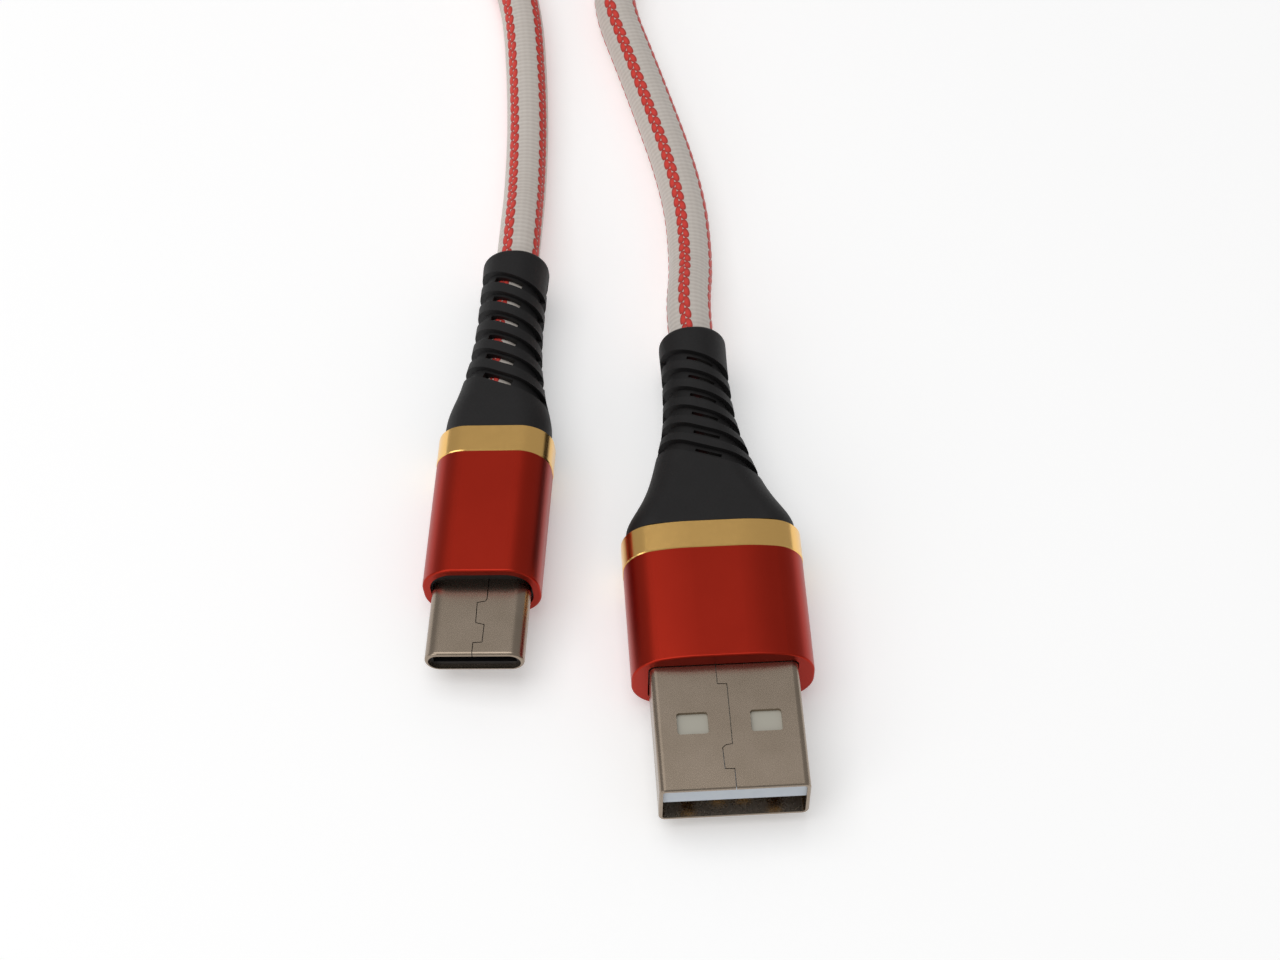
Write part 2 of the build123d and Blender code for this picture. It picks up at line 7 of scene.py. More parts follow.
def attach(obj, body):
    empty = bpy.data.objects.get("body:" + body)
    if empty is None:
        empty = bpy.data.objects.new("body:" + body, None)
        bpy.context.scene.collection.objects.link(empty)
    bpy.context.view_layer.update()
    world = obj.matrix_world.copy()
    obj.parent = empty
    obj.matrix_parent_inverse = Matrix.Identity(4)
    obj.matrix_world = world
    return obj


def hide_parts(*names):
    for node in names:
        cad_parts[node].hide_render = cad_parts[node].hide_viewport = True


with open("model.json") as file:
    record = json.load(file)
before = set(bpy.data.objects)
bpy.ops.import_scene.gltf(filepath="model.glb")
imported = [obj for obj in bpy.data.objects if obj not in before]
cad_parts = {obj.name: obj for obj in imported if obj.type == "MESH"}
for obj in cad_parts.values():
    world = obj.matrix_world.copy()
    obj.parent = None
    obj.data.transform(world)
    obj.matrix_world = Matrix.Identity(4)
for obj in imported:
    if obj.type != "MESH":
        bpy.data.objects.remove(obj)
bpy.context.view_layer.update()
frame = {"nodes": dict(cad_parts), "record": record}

MM = 0.001
UP = Vector((0, 0, 1))
USB_A_BOOT_END = 46.0
USB_C_BOOT_END = 41.5

scene = bpy.context.scene
mounts = {mount["name"]: mount for mount in frame["record"]["mounts"]}


def plug_axis(mount):
    """Middle of a plug's mating face, and the direction from it back towards the cable."""
    return Vector(mount["pos_m"]), -Vector(mount["axis"]).normalized()


usb_a = plug_axis(mounts["usb_a_plug"])
usb_c = plug_axis(mounts["usb_c_plug"])


def behind(plug, depth):
    """Point on a plug's axis, this many millimetres behind its mating face."""
    face, back = plug
    return face + back * depth * MM


# ---------------------------------------------------------------- camera

# A long lens in front of the plugs and well above the table, rolled by a degree
SENSOR = 36.0
LENS = 92.81
ELEVATION = math.radians(54.22)
ROLL = math.radians(1.361)
AIM = Vector((1.646, 7.025, 0)) * MM
DISTANCE = 283.36 * MM
NEAREST = 10 * MM

camera_data = bpy.data.cameras.new("camera")
camera = bpy.data.objects.new("camera", camera_data)
scene.collection.objects.link(camera)
camera_data.sensor_width = SENSOR
camera_data.lens = LENS
camera_data.clip_start = NEAREST
backward = Vector((0, -math.cos(ELEVATION), math.sin(ELEVATION)))
level_right = Vector((1, 0, 0))
level_up = backward.cross(level_right)
right = level_right * math.cos(ROLL) + level_up * math.sin(ROLL)
upward = level_up * math.cos(ROLL) - level_right * math.sin(ROLL)
eye = AIM + backward * DISTANCE
camera.matrix_world = Matrix((
    (right.x, upward.x, backward.x, eye.x),
    (right.y, upward.y, backward.y, eye.y),
    (right.z, upward.z, backward.z, eye.z),
    (0, 0, 0, 1),
))
scene.camera = camera

# ---------------------------------------------------------------- making a finish

PLACE = "ShaderNodeTexCoord"
MATH = "ShaderNodeMath"
MIX = "ShaderNodeMix"
NOISE = "ShaderNodeTexNoise"
RANGE = "ShaderNodeMapRange"
BUMP = "ShaderNodeBump"
COLOURS = {"data_type": "RGBA"}


def linear(code):
    """A sRGB hex colour as the linear colour that a shader takes."""
    channels = [int(code[place:place + 2], 16) / 255 for place in (1, 3, 5)]
    return [c / 12.92 if c <= 0.04045 else ((c + 0.055) / 1.055) ** 2.4 for c in channels] + [1.0]


def add_node(tree, kind, settings=None, **links):
    """Adds a node, sets its properties, and feeds its inputs with values or other sockets.

    An input goes by its name, with _ for a space, or by its place, where i0 is the first. A node
    given as a value stands for its first output.
    """
    node = tree.nodes.new(kind)
    for name, value in (settings or {}).items():
        setattr(node, name, value)
    for name, value in links.items():
        by_place = name[0] == "i" and name[1:].isdigit()
        socket = node.inputs[int(name[1:]) if by_place else name.replace("_", " ")]
        if isinstance(value, bpy.types.Node):
            value = value.outputs[0]
        if isinstance(value, bpy.types.NodeSocket):
            tree.links.new(value, socket)
        else:
            socket.default_value = value
    return node


def new_material(name, **values):
    """A material, its node tree and its shader, with the shader's plain values set."""
    material = bpy.data.materials.new(name)
    material.use_nodes = True
    tree = material.node_tree
    shader = tree.nodes["Principled BSDF"]
    for key, value in values.items():
        shader.inputs[key.replace("_", " ")].default_value = value
    return material, tree, shader


def feature(size):
    """Scale that gives a pattern in metres features this many millimetres across."""
    return 1.0 / (size * MM)


def link_up(tree, shader, colour=None, roughness=None, relief=None):
    """Feeds the shader with a colour mix, a roughness node and a bump node."""
    if colour:
        tree.links.new(colour.outputs[2], shader.inputs["Base Color"])
    if roughness:
        tree.links.new(roughness.outputs[0], shader.inputs["Roughness"])
    if relief:
        tree.links.new(relief.outputs[0], shader.inputs["Normal"])


def dress(names, material):
    """Puts a finish on CAD nodes through their material slots."""
    for name in names:
        for place in frame["nodes"][name].material_slots:
            place.material = material


# ---------------------------------------------------------------- woven sleeve

# Pale multifilament yarn in fine cross rows, and four red tracer lines. A line is two columns
# of red floats that lie alternately and lean to its middle. Millimetres on the cable's surface.
TRACERS = 4
TRACER_REPEAT = math.pi
FLOAT_REPEAT = 1.16
COLUMN_OFF = 0.235
FLOAT_HALF_WIDTH = 0.33
FLOAT_HALF_LENGTH = 0.6
FLOAT_LEAN = 0.45
ROW_PITCH = 0.47
WALES = 22
FRAY = 0.45
WEAR = 1.1
FILAMENT = 0.11

MULTIPLY = {"operation": "MULTIPLY"}
DIVIDE = {"operation": "DIVIDE"}
ADD = {"operation": "ADD"}
SUBTRACT = {"operation": "SUBTRACT"}
MULTIPLY_ADD = {"operation": "MULTIPLY_ADD"}
FRACT = {"operation": "FRACT"}
ABSOLUTE = {"operation": "ABSOLUTE"}
POWER = {"operation": "POWER"}
SINE = {"operation": "SINE"}


def woven_sleeve():
    """Woven polyester: dull pale yarn with a soft sheen, crossed by brighter red floats.

    The pattern follows the cable by its attribute weave: turn round the cable, and mm along it.
    A filament is finer than the render can show, so they are drawn about 0.1 mm thick.
    """
    material, tree, shader = new_material(
        "woven polyester sleeve", Roughness=0.62, Sheen_Weight=0.25, Sheen_Roughness=0.4,
    )
    weave = add_node(tree, "ShaderNodeAttribute", {"attribute_name": "weave"}).outputs["Vector"]
    split = add_node(tree, "ShaderNodeSeparateXYZ", None, Vector=weave)
    turn = split.outputs[0]
    along = split.outputs[1]

    # How far off the nearest tracer line, and then off the middle of its column
    lines = add_node(tree, MATH, MULTIPLY, i0=turn, i1=TRACERS)
    share = add_node(tree, MATH, FRACT, i0=lines)
    share_off = add_node(tree, MATH, SUBTRACT, i0=share, i1=0.5)
    from_line = add_node(tree, MATH, MULTIPLY, i0=share_off, i1=TRACER_REPEAT)
    from_middle = add_node(tree, MATH, ABSOLUTE, i0=from_line)
    off_column = add_node(tree, MATH, SUBTRACT, i0=from_middle, i1=COLUMN_OFF)

    # How far along its own float, where the second column is half a repeat later
    second = add_node(tree, MATH, {"operation": "GREATER_THAN"}, i0=from_line, i1=0.0)
    floats = add_node(tree, MATH, DIVIDE, i0=along, i1=FLOAT_REPEAT)
    beat = add_node(tree, MATH, MULTIPLY_ADD, i0=second, i1=0.5, i2=floats)
    beat_share = add_node(tree, MATH, FRACT, i0=beat)
    beat_off = add_node(tree, MATH, SUBTRACT, i0=beat_share, i1=0.5)
    upright = add_node(tree, MATH, MULTIPLY, i0=beat_off, i1=FLOAT_REPEAT)
    along_float = add_node(tree, MATH, MULTIPLY_ADD, i0=off_column, i1=FLOAT_LEAN, i2=upright)

    # An oval float with a ragged edge: reach is 1 on the plain oval
    wide = add_node(tree, MATH, DIVIDE, i0=off_column, i1=FLOAT_HALF_WIDTH)
    wide_square = add_node(tree, MATH, POWER, i0=wide, i1=2.0)
    length = add_node(tree, MATH, ABSOLUTE, i0=along_float)
    long = add_node(tree, MATH, DIVIDE, i0=length, i1=FLOAT_HALF_LENGTH)
    long_square = add_node(tree, MATH, POWER, i0=long, i1=2.0)
    oval = add_node(tree, MATH, ADD, i0=wide_square, i1=long_square)
    fray = add_node(tree, NOISE, None, Vector=weave, Scale=1 / FRAY, Detail=2.0)
    ragged = add_node(tree, MATH, MULTIPLY, i0=fray, i1=0.25)
    reach = add_node(tree, MATH, ADD, i0=oval, i1=ragged)
    smooth = {"interpolation_type": "SMOOTHSTEP"}
    red_part = add_node(tree, RANGE, smooth, Value=reach, From_Min=1.3, From_Max=1.06)
    # Height of each float, highest on its crown; it also sets the painted highlight on the red there
    crown_height_and_highlight = add_node(tree, RANGE, None, Value=reach, From_Min=1.1, From_Max=0.2)

    # Cross rows of pale yarn, broken up by the wales that run along the cable; the rows' height also
    # paints shade into the hollows between them
    row_turn = add_node(tree, MATH, MULTIPLY, i0=along, i1=2 * math.pi / ROW_PITCH)
    row_wave = add_node(tree, MATH, SINE, i0=row_turn)
    wale_turn = add_node(tree, MATH, MULTIPLY, i0=turn, i1=2 * math.pi * WALES)
    wale_wave = add_node(tree, MATH, SINE, i0=wale_turn)
    wales = add_node(tree, MATH, MULTIPLY, i0=wale_wave, i1=0.15)
    rows = add_node(tree, MATH, MULTIPLY_ADD, i0=row_wave, i1=0.5, i2=wales)
    row_height_and_shade = add_node(tree, RANGE, None, Value=rows, From_Min=-0.7, From_Max=0.5)

    # Colours: pale yarn a little worn in clouds and painted darker as shade in the hollows between
    # its rows, red yarn with a painted highlight on the crown of each float and painted shade
    # towards its edges
    # Pale yarn: painted shade in the hollows between rows, lighter on their tops
    pale = add_node(tree, MIX, COLOURS, i0=row_height_and_shade, i6=linear("#CAC1B9"), i7=linear("#DAD2CA"))
    mottle = add_node(tree, NOISE, None, Vector=weave, Scale=1 / WEAR, Detail=3.0)
    wear = add_node(tree, MATH, MULTIPLY, i0=mottle, i1=0.35)
    worn = add_node(tree, MIX, COLOURS, i0=wear, i6=pale.outputs[2], i7=linear("#BDB3A8"))
    # Red floats: painted highlight on the crown, painted shade towards the edge
    red = add_node(tree, MIX, COLOURS, i0=crown_height_and_highlight, i6=linear("#A3261D"), i7=linear("#DD3A2E"))
    yarn = add_node(tree, MIX, COLOURS, i0=red_part, i6=worn.outputs[2], i7=red.outputs[2])

    blend = {"data_type": "FLOAT"}
    yarn_height = add_node(tree, MIX, blend, i0=red_part, i2=row_height_and_shade, i3=crown_height_and_highlight)
    filament = add_node(tree, NOISE, None, Vector=weave, Scale=1 / FILAMENT, Detail=4.0)
    height = add_node(tree, MATH, MULTIPLY_ADD, i0=filament, i1=0.25, i2=yarn_height)
    relief = add_node(tree, BUMP, None, Strength=0.4, Distance=0.06 * MM, Height=height)
    link_up(tree, shader, yarn, None, relief)
    return material


# ---------------------------------------------------------------- route of the cable

CABLE = 4.0 * MM
FLOOR = 2.0
COIL_MIDDLE = Vector((-8.2, 101.5, 0.0))
COIL_TURNS = 5.5
TURN_STEPS = 16

# The spline runs inside control points that lie on a circle, so they stand out by this share
LANE_SHARE = 0.981

# Where a strand lies in the coil: radius of its lane and height of its layer, in millimetres
OUTER, INNER = 23.0, 18.85
LOW, MIDDLE, HIGH = 2.8, 6.87, 10.94
LANES = [(OUTER, LOW), (INNER, LOW), (INNER, MIDDLE), (OUTER, MIDDLE), (INNER, HIGH), (OUTER, HIGH)]


def coil_point(turn, radius, height):
    angle = 2 * math.pi * turn
    outward = Vector((math.cos(angle), math.sin(angle), 0))
    return COIL_MIDDLE + outward * (radius / LANE_SHARE) + UP * height


def ease(value):
    """Smooth step from 0 to 1."""
    value = min(1.0, max(0.0, value))
    return value * value * (3 - 2 * value)


def coil_points():
    """Each turn keeps one lane of the coil and changes to the next in its last quarter."""
    found = []
    for step in range(int(COIL_TURNS * TURN_STEPS) + 1):
        turn = step / TURN_STEPS
        lane = int(turn)
        radius, height = LANES[lane]
        if lane + 1 < len(LANES):
            next_radius, next_height = LANES[lane + 1]
            moved = turn - lane
            climb = ease((moved - 0.72) / 0.2)
            aside = ease((moved - 0.75) / 0.25)
            if next_height > height:
                aside = ease((moved - 0.8) / 0.2)
            radius += (next_radius - radius) * aside
            height += (next_height - height) * climb
        found.append(coil_point(turn, radius, height))
    return found


# From inside the USB-A strain relief to the coil
route = [
    behind(usb_a, 28.3) / MM,
    behind(usb_a, 37.0) / MM,
    behind(usb_a, USB_A_BOOT_END) / MM,
    behind(usb_a, 50.6) / MM,
    Vector((5.8, 29.2, FLOOR)),
    Vector((5.0, 38.0, FLOOR)),
    Vector((1.0, 51.5, FLOOR)),
    Vector((-2.6, 62.6, FLOOR)),
    Vector((-0.6, 71.2, FLOOR)),
    Vector((5.7, 77.5, FLOOR)),
    Vector((11.4, 85.1, 2.3)),
    Vector((14.4, 93.0, 2.8)),
]
route += coil_points()

# From the coil's top layer down its side, and along the table into the USB-C strain relief
route += [
    Vector((-31.0, 96.2, 10.9)),
    Vector((-30.8, 89.5, 9.9)),
    Vector((-28.7, 83.7, 7.0)),
    Vector((-24.5, 79.0, 4.2)),
    Vector((-19.3, 74.8, 2.3)),
    Vector((-14.4, 69.9, FLOOR)),
    Vector((-10.65, 62.0, FLOOR)),
    Vector((-9.45, 47.5, FLOOR)),
    Vector((-9.35, 38.0, FLOOR)),
    behind(usb_c, 46.1) / MM,
    behind(usb_c, USB_C_BOOT_END) / MM,
    behind(usb_c, 33.0) / MM,
    behind(usb_c, 24.5) / MM,
]


def centre_line(points, name):
    """Points along the smooth spline that has the route's points as its control points."""
    data = bpy.data.curves.new(name, "CURVE")
    data.dimensions = "3D"
    data.resolution_u = 24
    spline = data.splines.new("NURBS")
    spline.points.add(len(points) - 1)
    for place, point in zip(spline.points, points):
        place.co = (*(point * MM), 1.0)
    spline.order_u = 3
    spline.use_endpoint_u = True
    holder = bpy.data.objects.new(name, data)
    mesh = bpy.data.meshes.new_from_object(holder)
    line = [vertex.co.copy() for vertex in mesh.vertices]
    bpy.data.objects.remove(holder)
    bpy.data.meshes.remove(mesh)
    return line


def resample(line, spacing):
    """Points along a line, each as far on from the last as spacing(distance, total) says."""
    marks = [0.0]
    for before, after in zip(line, line[1:]):
        marks.append(marks[-1] + (after - before).length)
    total = marks[-1]
    places = []
    where = 0.0
    while where < total:
        places.append(where)
        where += spacing(where, total)
    places.append(total)
    points = []
    spot = 0
    for where in places:
        while spot < len(marks) - 2 and marks[spot + 1] < where:
            spot += 1
        share = (where - marks[spot]) / max(1e-12, marks[spot + 1] - marks[spot])
        points.append(line[spot].lerp(line[spot + 1], min(1.0, share)))
    return points, places, total


# ---------------------------------------------------------------- strap round the coil

# The strap goes once round all six strands, and its end lies on top of itself: from the top
# of the coil down into its eye. Radii of its two sides are in millimetres.
STRAP_NEAR, STRAP_FAR = 16.0, 26.0
STRAP_REACH = (STRAP_FAR - STRAP_NEAR) * MM
STRAP_TALL = 13.7 * MM
STRAP_THICK = 0.7 * MM
STRAP_TURN = math.radians(24)
STRAP_CORNER = 2.6 * MM
END_TURN = STRAP_TURN * 0.94
END_LIFT = 0.62 * MM
END_THICK = 0.6 * MM
EDGE = 0.16 * MM


def strap_layer(name, sweep, grow, thick, keep):
    """One layer of the strap: a rounded section swept round the coil, then given a thickness."""
    pivot = COIL_MIDDLE * MM
    middle = pivot + Vector((0, 0.5 * (STRAP_NEAR + STRAP_FAR) * MM, 0.5 * STRAP_TALL))
    bpy.ops.object.select_all(action="DESELECT")
    bpy.ops.mesh.primitive_plane_add(
        size=STRAP_REACH, location=middle, rotation=(0, math.pi / 2, 0),
    )
    layer = bpy.context.active_object
    layer.name = name
    bpy.ops.object.transform_apply(location=True, rotation=True, scale=True)
    bpy.ops.object.mode_set(mode="EDIT")
    bpy.ops.mesh.select_all(action="SELECT")
    wider = (STRAP_REACH + 2 * grow) / STRAP_REACH
    taller = (STRAP_TALL + 2 * grow) / STRAP_REACH
    bpy.ops.transform.resize(value=(1.0, wider, taller), center_override=middle)
    bpy.ops.mesh.bevel(offset=STRAP_CORNER + grow, segments=7, affect="VERTICES")
    bpy.ops.mesh.delete(type="ONLY_FACE")
    bpy.ops.mesh.select_all(action="DESELECT")
    bpy.ops.object.mode_set(mode="OBJECT")
    for vertex in layer.data.vertices:
        vertex.select = not keep(vertex.co / MM)
    bpy.ops.object.mode_set(mode="EDIT")
    bpy.ops.mesh.delete(type="VERT")
    bpy.ops.mesh.select_all(action="SELECT")
    bpy.ops.mesh.subdivide(number_cuts=2)
    margin = 0.5 * (STRAP_TURN - sweep)
    bpy.ops.transform.rotate(value=-margin, orient_axis="Z", center_override=pivot)
    bpy.ops.mesh.spin(steps=12, angle=-sweep, center=pivot, axis=UP)
    bpy.ops.mesh.select_all(action="SELECT")
    bpy.ops.mesh.remove_doubles(threshold=0.01 * MM)
    bpy.ops.mesh.normals_make_consistent(inside=False)
    bpy.ops.object.mode_set(mode="OBJECT")
    wall = layer.modifiers.new("wall", "SOLIDIFY")
    wall.thickness = thick
    wall.offset = -1.0
    edge = layer.modifiers.new("soft edges", "BEVEL")
    edge.width = EDGE
    edge.segments = 3
    edge.limit_method = "ANGLE"
    bpy.ops.object.modifier_apply(modifier="wall")
    bpy.ops.object.modifier_apply(modifier="soft edges")
    bpy.ops.object.shade_smooth_by_angle(angle=math.radians(40))
    return layer


def under_strap_end(place):
    """Whether the strap's end lies on this place of the section: on top, and down in the eye."""
    on_top = place.z > 12.6 and place.y < COIL_MIDDLE.y + 24.5
    in_eye = place.z > 6.5 and place.y < COIL_MIDDLE.y + 16.2
    return on_top or in_eye


def hook_and_loop():
    """Hook-and-loop tape: matt and black, with a woolly pile of loops about 0.4 mm across."""
    material, tree, shader = new_material(
        "hook and loop strap", Roughness=0.85, Sheen_Weight=0.3,
    )
    place = add_node(tree, PLACE).outputs["Object"]
    loops = add_node(tree, "ShaderNodeTexVoronoi", None, Vector=place, Scale=feature(0.4))
    tone = add_node(tree, MIX, COLOURS, i0=loops, i6=linear("#2B2A2C"), i7=linear("#121213"))
    relief = add_node(tree, BUMP, None, Strength=0.6, Distance=0.1 * MM, Height=loops)
    link_up(tree, shader, tone, None, relief)
    return material


strap_cloth = hook_and_loop()
band = strap_layer("strap_band", STRAP_TURN, 0.0, STRAP_THICK, lambda place: True)
tab = strap_layer("strap_end", END_TURN, END_LIFT, END_THICK, under_strap_end)
for layer in (band, tab):
    layer.data.materials.append(strap_cloth)

# ---------------------------------------------------------------- mesh of the cable

# The floats of the weave are modelled near the plugs. The coil has smooth sides and longer steps.
SIDES = 40
FINE_REACH = 128 * MM
FINE_STEP = 0.22 * MM
COIL_STEP = 0.72 * MM
YARN_RADIUS = 0.5 * CABLE - 0.11 * MM
FLOAT_RISE = 0.085
ROW_RISE = 0.010
TWIST_REACH = 50 * MM


def weave_height(turn, along):
    """Relief of the sleeve in millimetres: red floats stand proud, pale rows are shallow."""
    from_line = ((turn * TRACERS) % 1.0 - 0.5) * TRACER_REPEAT
    beat = along / FLOAT_REPEAT + (0.5 if from_line > 0 else 0.0)
    off_column = abs(from_line) - COLUMN_OFF
    along_float = (beat % 1.0 - 0.5) * FLOAT_REPEAT + off_column * FLOAT_LEAN
    reach = (off_column / FLOAT_HALF_WIDTH) ** 2 + (along_float / FLOAT_HALF_LENGTH) ** 2
    if reach < 1:
        return FLOAT_RISE * math.sqrt(1 - reach)
    return ROW_RISE * math.sin(2 * math.pi * along / ROW_PITCH)


def is_fine(where, total):
    return where < FINE_REACH or where > total - FINE_REACH


def ring_spacing(where, total):
    return FINE_STEP if is_fine(where, total) else COIL_STEP


def tracer_angle(where, total):
    """Degrees that the tracer lines have turned round the cable, most of it near its ends."""
    near_start = ease(where / TWIST_REACH)
    near_end = ease((where - total) / TWIST_REACH + 1)
    return -9 - 13 * near_start - 25 * where / total - 18 * near_end


def cable_ring(point, ahead, where, total):
    """One ring of the cable's surface, whose first point is half-way between tracer lines."""
    side = ahead.cross(UP).normalized()
    top = side.cross(ahead)
    start = math.radians(tracer_angle(where, total)) - math.pi / TRACERS
    fine = is_fine(where, total)
    ring = []
    for spoke in range(SIDES):
        angle = 2 * math.pi * spoke / SIDES + start
        radius = YARN_RADIUS
        if fine:
            radius += weave_height(spoke / SIDES, where / MM) * MM
        ring.append(point + (top * math.cos(angle) + side * math.sin(angle)) * radius)
    return ring


def cable_tube(points, places, total):
    """A closed tube along the points, with the attribute that the weave's pattern follows."""
    vertices = []
    for number, (point, where) in enumerate(zip(points, places)):
        before = points[max(number - 1, 0)]
        after = points[min(number + 1, len(points) - 1)]
        vertices += cable_ring(point, (after - before).normalized(), where, total)
    faces = []
    for here in range(0, len(vertices) - SIDES, SIDES):
        beyond = here + SIDES
        for spoke in range(SIDES):
            following = (spoke + 1) % SIDES
            faces.append((here + spoke, here + following, beyond + following, beyond + spoke))
    faces.append(tuple(reversed(range(SIDES))))
    faces.append(tuple(range(len(vertices) - SIDES, len(vertices))))
    mesh = bpy.data.meshes.new("cable")
    mesh.from_pydata(vertices, [], faces)
    weave = mesh.attributes.new("weave", "FLOAT_VECTOR", "CORNER")
    values = []
    for polygon in mesh.polygons:
        corners = list(polygon.vertices)
        on_seam = len(corners) == 4 and corners[0] % SIDES == SIDES - 1
        for corner in corners:
            spoke = corner % SIDES
            turn = 1.0 if on_seam and spoke == 0 else spoke / SIDES
            values += [turn, places[corner // SIDES] / MM, 0.0]
    weave.data.foreach_set("vector", values)
    mesh.polygons.foreach_set("use_smooth", [len(p.vertices) == 4 for p in mesh.polygons])
    return mesh


line = centre_line(route, "cable centre line")
points, places, cable_length = resample(line, ring_spacing)
cable_mesh = cable_tube(points, places, cable_length)
cable_mesh.materials.append(woven_sleeve())
cable = bpy.data.objects.new("cable", cable_mesh)
scene.collection.objects.link(cable)
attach(cable, "root")
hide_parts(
    "cable_end_usb_a", "cable_end_usb_c", "cable_run_usb_a", "cable_run_usb_c", "cable_coil",
)
for layer in (band, tab):
    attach(layer, "root")
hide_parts("coil_strap")

# ---------------------------------------------------------------- metal


def red_aluminium():
    """Aluminium, bead blasted and dyed red: an even satin colour with a soft-edged shine.

    The grit is about 0.11 mm, and the dye is uneven over 5.5 mm.
    """
    material, tree, shader = new_material("blasted red anodised aluminium", Metallic=1.0)
    place = add_node(tree, PLACE).outputs["Object"]
    grit = add_node(tree, NOISE, None, Vector=place, Scale=feature(0.11), Detail=3.0)
    dye = add_node(tree, NOISE, None, Vector=place, Scale=feature(5.5), Detail=2.0)
    tone = add_node(tree, MIX, COLOURS, i0=dye, i6=linear("#A1281B"), i7=linear("#AF2E1F"))
    gloss = add_node(tree, RANGE, None, Value=grit, To_Min=0.30, To_Max=0.40)
    relief = add_node(tree, BUMP, None, Strength=0.25, Distance=0.012 * MM, Height=grit)
    link_up(tree, shader, tone, gloss, relief)
    return material


def gold_aluminium():
    """Aluminium, polished and dyed gold: clear reflections, with a polishing haze of 0.4 mm."""
    material, tree, shader = new_material(
        "polished gold anodised aluminium", Metallic=1.0, Base_Color=linear("#F6C677"),
    )
    place = add_node(tree, PLACE).outputs["Object"]
    haze = add_node(tree, NOISE, None, Vector=place, Scale=feature(0.4), Detail=2.0)
    gloss = add_node(tree, RANGE, None, Value=haze, To_Min=0.16, To_Max=0.24)
    link_up(tree, shader, None, gloss)
    return material


def nickel_plate():
    """Sheet steel, folded and nickel plated: warm grey satin, a little uneven.

    The rolled grain is drawn 0.2 mm across, coarser than a real one, to show at all.
    """
    material, tree, shader = new_material("nickel plated sheet steel", Metallic=1.0)
    place = add_node(tree, PLACE).outputs["Object"]
    grain = add_node(tree, NOISE, None, Vector=place, Scale=feature(0.2), Detail=4.0)
    smear = add_node(tree, NOISE, None, Vector=place, Scale=feature(2.5), Detail=3.0)
    tone = add_node(tree, MIX, COLOURS, i0=smear, i6=linear("#918373"), i7=linear("#A39485"))
    gloss = add_node(tree, RANGE, None, Value=grain, To_Min=0.25, To_Max=0.29)
    relief = add_node(tree, BUMP, None, Strength=0.08, Distance=0.006 * MM, Height=grain)
    link_up(tree, shader, tone, gloss, relief)
    return material


# ---------------------------------------------------------------- rubber and plastic


def black_elastomer():
    """Thermoplastic elastomer from a spark-eroded mould: black and matt, with fine pits.

    The pits are about 0.19 mm across. Dust lightens it in patches of 1.4 mm.
    """
    material, tree, shader = new_material("moulded black elastomer", Specular_IOR_Level=0.36)
    place = add_node(tree, PLACE).outputs["Object"]
    pits = add_node(tree, NOISE, None, Vector=place, Scale=feature(0.19), Detail=4.0)
    dust = add_node(tree, NOISE, None, Vector=place, Scale=feature(1.4), Detail=3.0)
    tone = add_node(tree, MIX, COLOURS, i0=dust, i6=linear("#100F0F"), i7=linear("#181617"))
    gloss = add_node(tree, RANGE, None, Value=pits, To_Min=0.52, To_Max=0.72)
    relief = add_node(tree, BUMP, None, Strength=0.35, Distance=0.03 * MM, Height=pits)
    link_up(tree, shader, tone, gloss, relief)
    return material


def moulded(name, low, high, rough, metallic=0.0, grain=1.1):
    """A smooth finish in two close tones, whose faint unevenness is grain millimetres wide."""
    material, tree, shader = new_material(name, Roughness=rough, Metallic=metallic)
    place = add_node(tree, PLACE).outputs["Object"]
    flow = add_node(tree, NOISE, None, Vector=place, Scale=feature(grain), Detail=3.0)
    tone = add_node(tree, MIX, COLOURS, i0=flow, i6=linear(low), i7=linear(high))
    relief = add_node(tree, BUMP, None, Strength=0.15, Distance=0.02 * MM, Height=flow)
    link_up(tree, shader, tone, None, relief)
    return material


def tongue_plastic():
    """Moulded polyester of the USB-A tongue: cool white, with painted shade that makes it darker and
    warmer inside the shell.
    """
    material = moulded("white polyester insulator", "#B4BCC5", "#C4CAD0", 0.38)
    tree = material.node_tree
    shader = tree.nodes["Principled BSDF"]
    white = shader.inputs["Base Color"].links[0].from_socket
    # Painted shade: the tongue turns darker and warmer where the shell covers it
    place = add_node(tree, PLACE).outputs["Object"]
    split = add_node(tree, "ShaderNodeSeparateXYZ", None, Vector=place)
    face = usb_a[0].y
    inside = add_node(
        tree, RANGE, None,
        Value=split.outputs[1], From_Min=face + 2.25 * MM, From_Max=face + 3.95 * MM,
    )
    tone = add_node(tree, MIX, COLOURS, i0=inside, i6=white, i7=linear("#B3AFA2"))
    link_up(tree, shader, tone)
    return material


dress(["usb_a_body", "usb_c_body"], red_aluminium())
dress(["usb_a_ring", "usb_c_ring"], gold_aluminium())
dress(["usb_a_shell", "usb_c_shell"], nickel_plate())
dress(["usb_a_strain_relief", "usb_c_strain_relief"], black_elastomer())
dress(["usb_a_insulator"], tongue_plastic())

# Plastic parts inside the plugs: name of the finish, its two tones, its roughness, its nodes
for name, low, high, rough, nodes in (
    ("black liquid crystal polymer", "#141314", "#1C1B1C", 0.45, ["usb_c_insulator"]),
    ("black inner mould", "#151415", "#201E1F", 0.55, ["usb_c_inner_mould"]),
    ("milky polyethylene", "#D2D0C8", "#DEDCD5", 0.42, ["usb_a_inner_mould"]),
    ("black inner jacket", "#1A1A1B", "#242425", 0.55, ["usb_a_inner_jacket", "usb_c_inner_jacket"]),
    ("red wire insulation", "#B3261E", "#C22E24", 0.4, ["usb_a_wire_red", "usb_c_wire_red"]),
    ("white wire insulation", "#DCDCD8", "#E8E8E4", 0.4, ["usb_a_wire_white", "usb_c_wire_white"]),
    ("green wire insulation", "#1E7A3A", "#278A45", 0.4, ["usb_a_wire_green", "usb_c_wire_green"]),
    ("black wire insulation", "#18181A", "#222224", 0.4, ["usb_a_wire_black", "usb_c_wire_black"]),
    ("green solder mask", "#1B5A36", "#226A41", 0.35, ["usb_c_paddle_card"]),
    ("black glazed resistor", "#151516", "#1E1E20", 0.3, ["usb_c_pull_up_resistor"]),
):
    dress(nodes, moulded(name, low, high, rough))

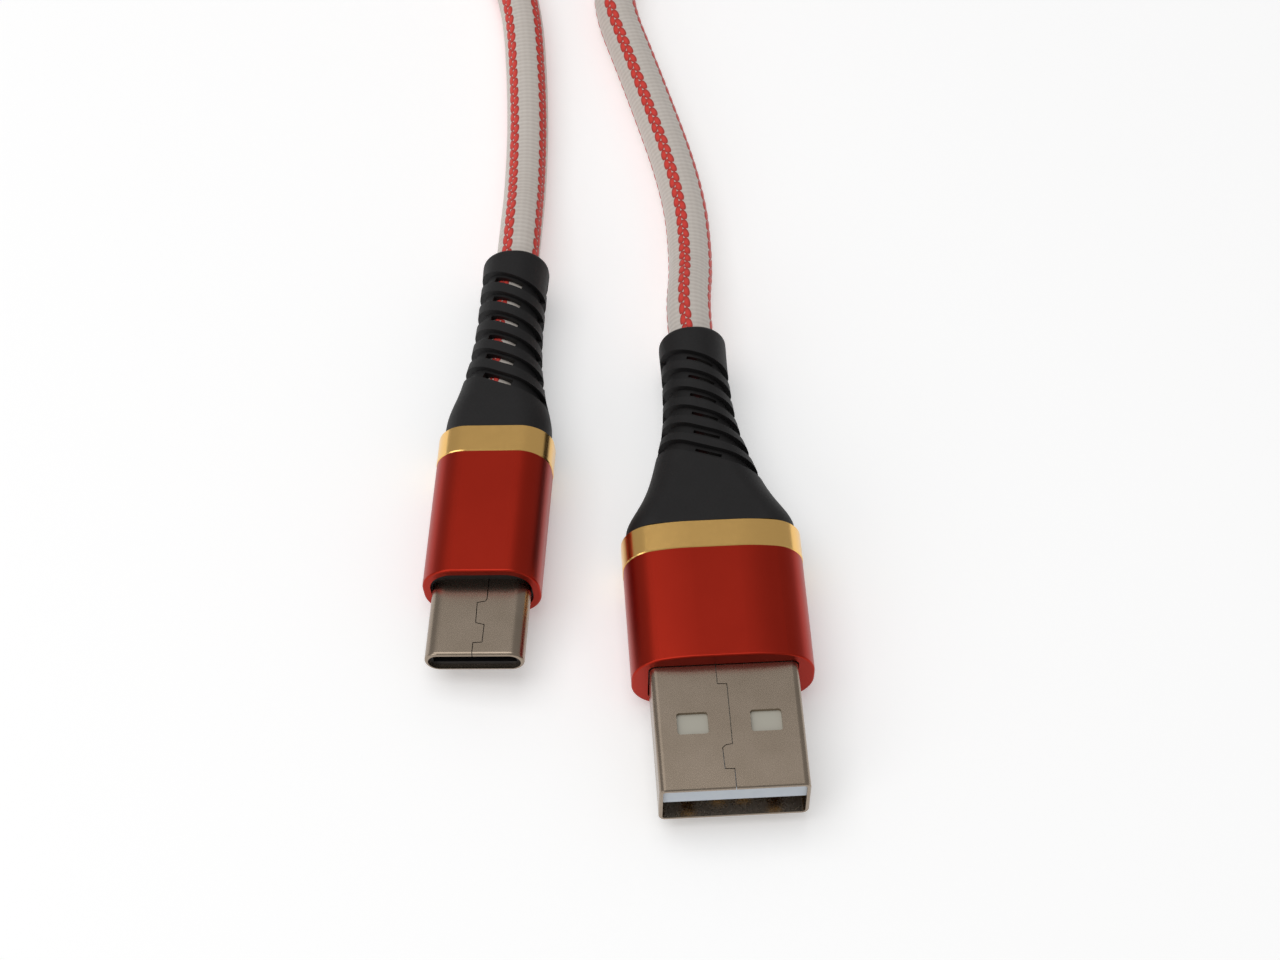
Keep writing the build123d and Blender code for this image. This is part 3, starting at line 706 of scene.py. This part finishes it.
# Bare or plated metal parts inside the plugs, with an unevenness of 0.7 mm
for name, low, high, rough, nodes in (
    ("gold plated contact", "#E0B45C", "#EBC578", 0.22, [
        "usb_a_contact_vbus", "usb_a_contact_data_minus", "usb_a_contact_data_plus",
        "usb_a_contact_ground", "usb_c_contacts_upper", "usb_c_contacts_lower",
    ]),
    ("bare spring steel", "#A3A19C", "#B3B1AC", 0.3, ["usb_c_latch_plate"]),
    ("tin solder", "#B9B9BA", "#CDCDCE", 0.25, ["usb_a_solder_joints", "usb_c_solder_joints"]),
):
    dress(nodes, moulded(name, low, high, rough, metallic=1.0, grain=0.7))

# ---------------------------------------------------------------- floor and light

FLOOR_SIDE = 4.0
FLOOR_DROP = 0.02 * MM

# White paper on a light table, which keeps it white under the plugs
paper = new_material(
    "white paper floor", Base_Color=linear("#FAFAFA"), Roughness=0.9, Specular_IOR_Level=0.1,
    Emission_Color=(1, 1, 1, 1), Emission_Strength=0.25,
)[0]
bpy.ops.object.select_all(action="DESELECT")
bpy.ops.mesh.primitive_plane_add(size=FLOOR_SIDE, location=(0, 0, -FLOOR_DROP))
floor = bpy.context.active_object
floor.name = "floor"
floor.data.materials.append(paper)

scene.view_settings.view_transform = "Standard"
scene.view_settings.look = "None"
world = bpy.data.worlds.new("light tent")
scene.world = world
world.use_nodes = True
surroundings = world.node_tree.nodes["Background"].inputs
surroundings["Color"].default_value = (1, 1, 1, 1)
surroundings["Strength"].default_value = 0.38


def soft_box(name, place, target, side, power):
    """A square soft light, its side in metres and its power in watts, turned to its target."""
    data = bpy.data.lights.new(name, "AREA")
    data.shape = "RECTANGLE"
    data.size = side
    data.size_y = side
    data.energy = power
    lamp = bpy.data.objects.new(name, data)
    scene.collection.objects.link(lamp)
    lamp.location = place
    lamp.rotation_euler = (Vector(target) - Vector(place)).to_track_quat("-Z", "Y").to_euler()


soft_box("overhead box", (-0.2, 0.02, 0.7), (0, 0.02, 0), 0.7, 2.3)
soft_box("front left box", (-0.5, -0.5, 0.35), (0, 0, 0), 0.4, 0.9)
